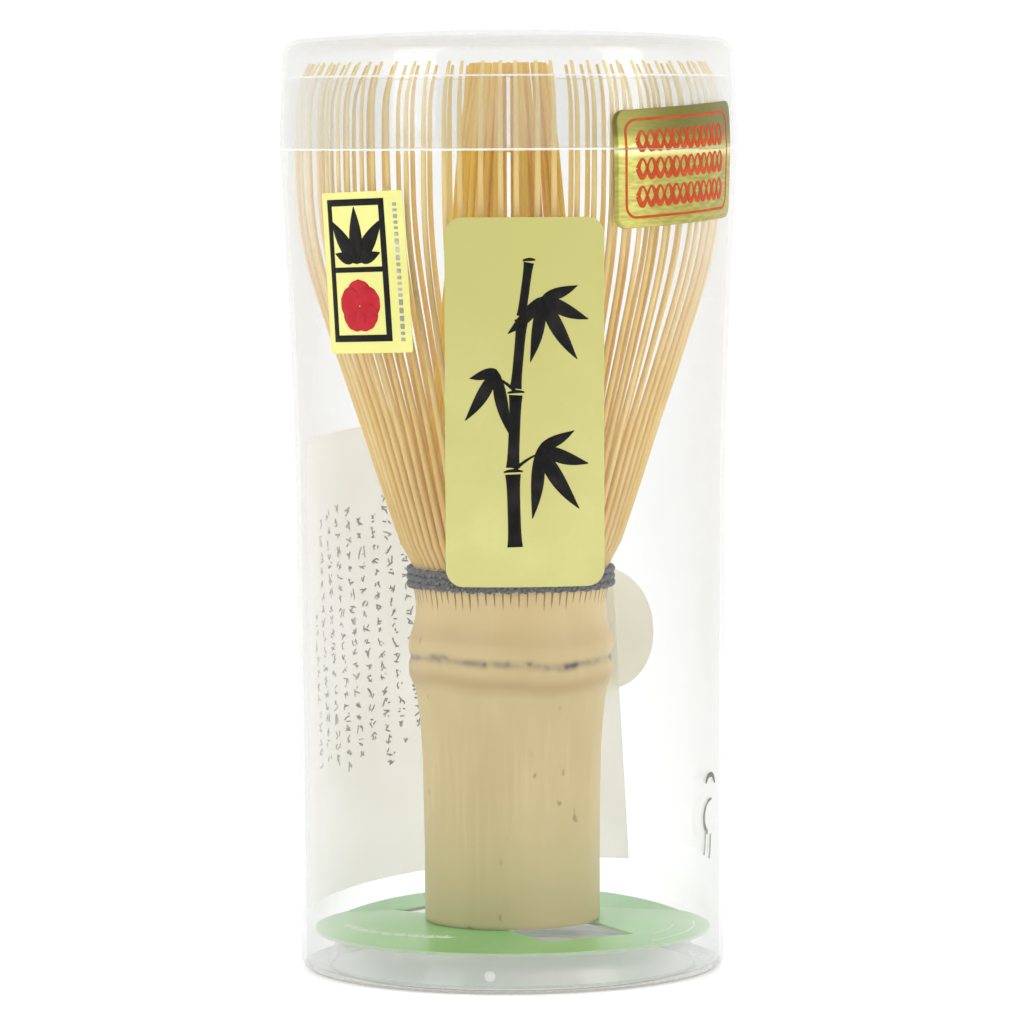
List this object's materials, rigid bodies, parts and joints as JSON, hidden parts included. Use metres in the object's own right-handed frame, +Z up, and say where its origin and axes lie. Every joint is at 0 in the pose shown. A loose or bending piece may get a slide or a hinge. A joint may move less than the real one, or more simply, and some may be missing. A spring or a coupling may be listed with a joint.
{
  "type": "bamboo tea whisk",
  "caption": "Fine-tined bamboo whisk for powdered tea, standing on a card in its clear round case with a push-on cap, labels and a folded leaflet.",
  "frame": {"origin": "centre of the case's foot, on the surface it stands on", "axes": "+Z up along the case, the side with the tall label faces -Y, +X to the right seen from the front"},
  "size_m": [0.063, 0.063, 0.1293],
  "materials": {
    "clear_plastic": "thin clear moulded plastic, glossy",
    "bamboo_culm": "smooth bare bamboo skin",
    "bamboo_outer_tines": "split and scraped bamboo, satin",
    "bamboo_inner_tines": "split and scraped bamboo, satin",
    "thread": "dyed cotton thread",
    "insert_card": "printed green card, matte",
    "leaflet_paper": "thin off-white paper",
    "label_paper": "matte yellow-green label paper with printed art",
    "plain_label_paper": "plain grey-beige sticker",
    "seal_foil": "gold foil sticker, semi-gloss"
  },
  "bodies": {
    "case": {"case_shell": "clear_plastic", "insert_card": "insert_card", "leaflet": "leaflet_paper", "front_label": "label_paper", "side_label": "label_paper", "rear_label": "plain_label_paper", "seal_label_lower": "seal_foil"},
    "whisk": {"handle": "bamboo_culm", "binding_thread": "thread", "inner_tines_01": "bamboo_inner_tines", "inner_tines_02": "bamboo_inner_tines", "inner_tines_03": "bamboo_inner_tines", "inner_tines_04": "bamboo_inner_tines", "inner_tines_05": "bamboo_inner_tines", "inner_tines_06": "bamboo_inner_tines", "inner_tines_07": "bamboo_inner_tines", "inner_tines_08": "bamboo_inner_tines", "inner_tines_09": "bamboo_inner_tines", "inner_tines_10": "bamboo_inner_tines", "inner_tines_11": "bamboo_inner_tines", "inner_tines_12": "bamboo_inner_tines"},
    "cap": {"case_cap": "clear_plastic", "seal_label_upper": "seal_foil"},
    "tines_01": {"outer_tines_01": "bamboo_outer_tines"},
    "tines_02": {"outer_tines_02": "bamboo_outer_tines"},
    "tines_03": {"outer_tines_03": "bamboo_outer_tines"},
    "tines_04": {"outer_tines_04": "bamboo_outer_tines"},
    "tines_05": {"outer_tines_05": "bamboo_outer_tines"},
    "tines_06": {"outer_tines_06": "bamboo_outer_tines"},
    "tines_07": {"outer_tines_07": "bamboo_outer_tines"},
    "tines_08": {"outer_tines_08": "bamboo_outer_tines"},
    "tines_09": {"outer_tines_09": "bamboo_outer_tines"},
    "tines_10": {"outer_tines_10": "bamboo_outer_tines"},
    "tines_11": {"outer_tines_11": "bamboo_outer_tines"},
    "tines_12": {"outer_tines_12": "bamboo_outer_tines"}
  },
  "joints": [
    {"name": "whisk_lift", "type": "slide", "parent": "case", "child": "whisk", "axis": [0, 0, 1], "range_m": [0, 0.125]},
    {"name": "cap_lift", "type": "slide", "parent": "whisk", "child": "cap", "axis": [0, 0, 1], "range_m": [0, 0.04]},
    {"name": "tines_01_flex", "type": "hinge", "parent": "whisk", "child": "tines_01", "pos_m": [0.00326, -0.01217, 0.0557], "axis": [-0.9659, -0.2588, 0], "range_deg": [0, 2.3], "stiffness_Nm_per_rad": 0.01},
    {"name": "tines_02_flex", "type": "hinge", "parent": "whisk", "child": "tines_02", "pos_m": [0.00891, -0.00891, 0.0557], "axis": [-0.7071, -0.7071, 0], "range_deg": [0, 2.3], "stiffness_Nm_per_rad": 0.01},
    {"name": "tines_03_flex", "type": "hinge", "parent": "whisk", "child": "tines_03", "pos_m": [0.01217, -0.00326, 0.0557], "axis": [-0.2588, -0.9659, 0], "range_deg": [0, 2.3], "stiffness_Nm_per_rad": 0.01},
    {"name": "tines_04_flex", "type": "hinge", "parent": "whisk", "child": "tines_04", "pos_m": [0.01217, 0.00326, 0.0557], "axis": [0.2588, -0.9659, 0], "range_deg": [0, 2.3], "stiffness_Nm_per_rad": 0.01},
    {"name": "tines_05_flex", "type": "hinge", "parent": "whisk", "child": "tines_05", "pos_m": [0.00891, 0.00891, 0.0557], "axis": [0.7071, -0.7071, 0], "range_deg": [0, 2.3], "stiffness_Nm_per_rad": 0.01},
    {"name": "tines_06_flex", "type": "hinge", "parent": "whisk", "child": "tines_06", "pos_m": [0.00326, 0.01217, 0.0557], "axis": [0.9659, -0.2588, 0], "range_deg": [0, 2.3], "stiffness_Nm_per_rad": 0.01},
    {"name": "tines_07_flex", "type": "hinge", "parent": "whisk", "child": "tines_07", "pos_m": [-0.00326, 0.01217, 0.0557], "axis": [0.9659, 0.2588, 0], "range_deg": [0, 2.3], "stiffness_Nm_per_rad": 0.01},
    {"name": "tines_08_flex", "type": "hinge", "parent": "whisk", "child": "tines_08", "pos_m": [-0.00891, 0.00891, 0.0557], "axis": [0.7071, 0.7071, 0], "range_deg": [0, 2.3], "stiffness_Nm_per_rad": 0.01},
    {"name": "tines_09_flex", "type": "hinge", "parent": "whisk", "child": "tines_09", "pos_m": [-0.01217, 0.00326, 0.0557], "axis": [0.2588, 0.9659, 0], "range_deg": [0, 2.3], "stiffness_Nm_per_rad": 0.01},
    {"name": "tines_10_flex", "type": "hinge", "parent": "whisk", "child": "tines_10", "pos_m": [-0.01217, -0.00326, 0.0557], "axis": [-0.2588, 0.9659, 0], "range_deg": [0, 2.3], "stiffness_Nm_per_rad": 0.01},
    {"name": "tines_11_flex", "type": "hinge", "parent": "whisk", "child": "tines_11", "pos_m": [-0.00891, -0.00891, 0.0557], "axis": [-0.7071, 0.7071, 0], "range_deg": [0, 2.3], "stiffness_Nm_per_rad": 0.01},
    {"name": "tines_12_flex", "type": "hinge", "parent": "whisk", "child": "tines_12", "pos_m": [-0.00326, -0.01217, 0.0557], "axis": [-0.9659, 0.2588, 0], "range_deg": [0, 2.3], "stiffness_Nm_per_rad": 0.01}
  ]
}
